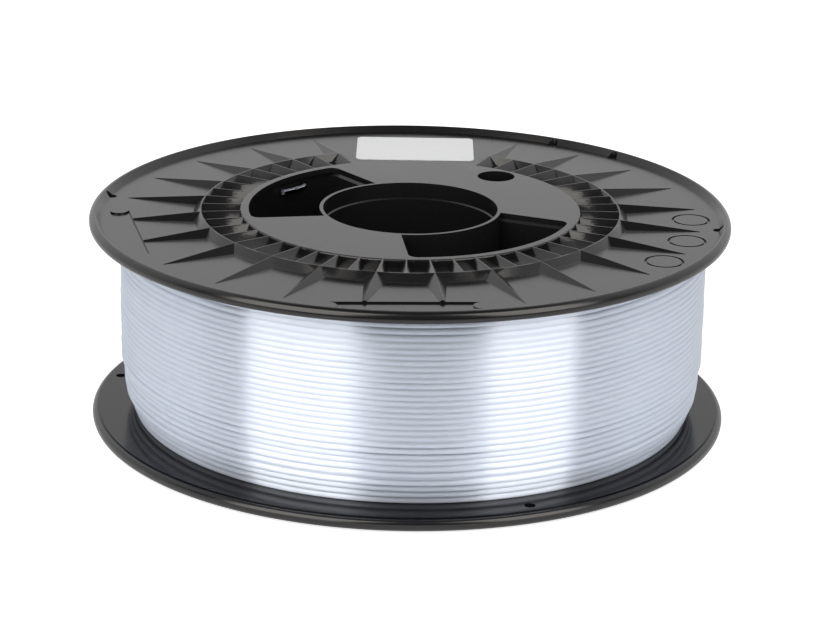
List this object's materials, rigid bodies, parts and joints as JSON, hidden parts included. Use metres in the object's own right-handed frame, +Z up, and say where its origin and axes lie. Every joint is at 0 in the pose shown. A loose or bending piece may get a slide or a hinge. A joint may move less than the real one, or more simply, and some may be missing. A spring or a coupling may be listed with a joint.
{
  "type": "filament spool",
  "caption": "Round two-flanged moulded spool with ribbed hub, open windows and a wide spindle bore, wound full of round plastic filament.",
  "frame": {"origin": "centre of the lower hub face, where the spool's axis meets the surface that it lies on", "axes": "+Z up along the spool's axis, -Y towards the pictured side, label at +Y"},
  "size_m": [0.2, 0.2, 0.068],
  "materials": {
    "spool_plastic": "fine moulded texture, satin",
    "filament": "silky, glossy",
    "label_paper": "smooth coated paper"
  },
  "bodies": {
    "root": {"upper_flange": "spool_plastic", "lower_flange": "spool_plastic", "core": "spool_plastic", "filament_inner_layers": "filament", "filament_outer_layer": "filament", "filament_start": "filament", "label": "label_paper"}
  },
  "joints": []
}
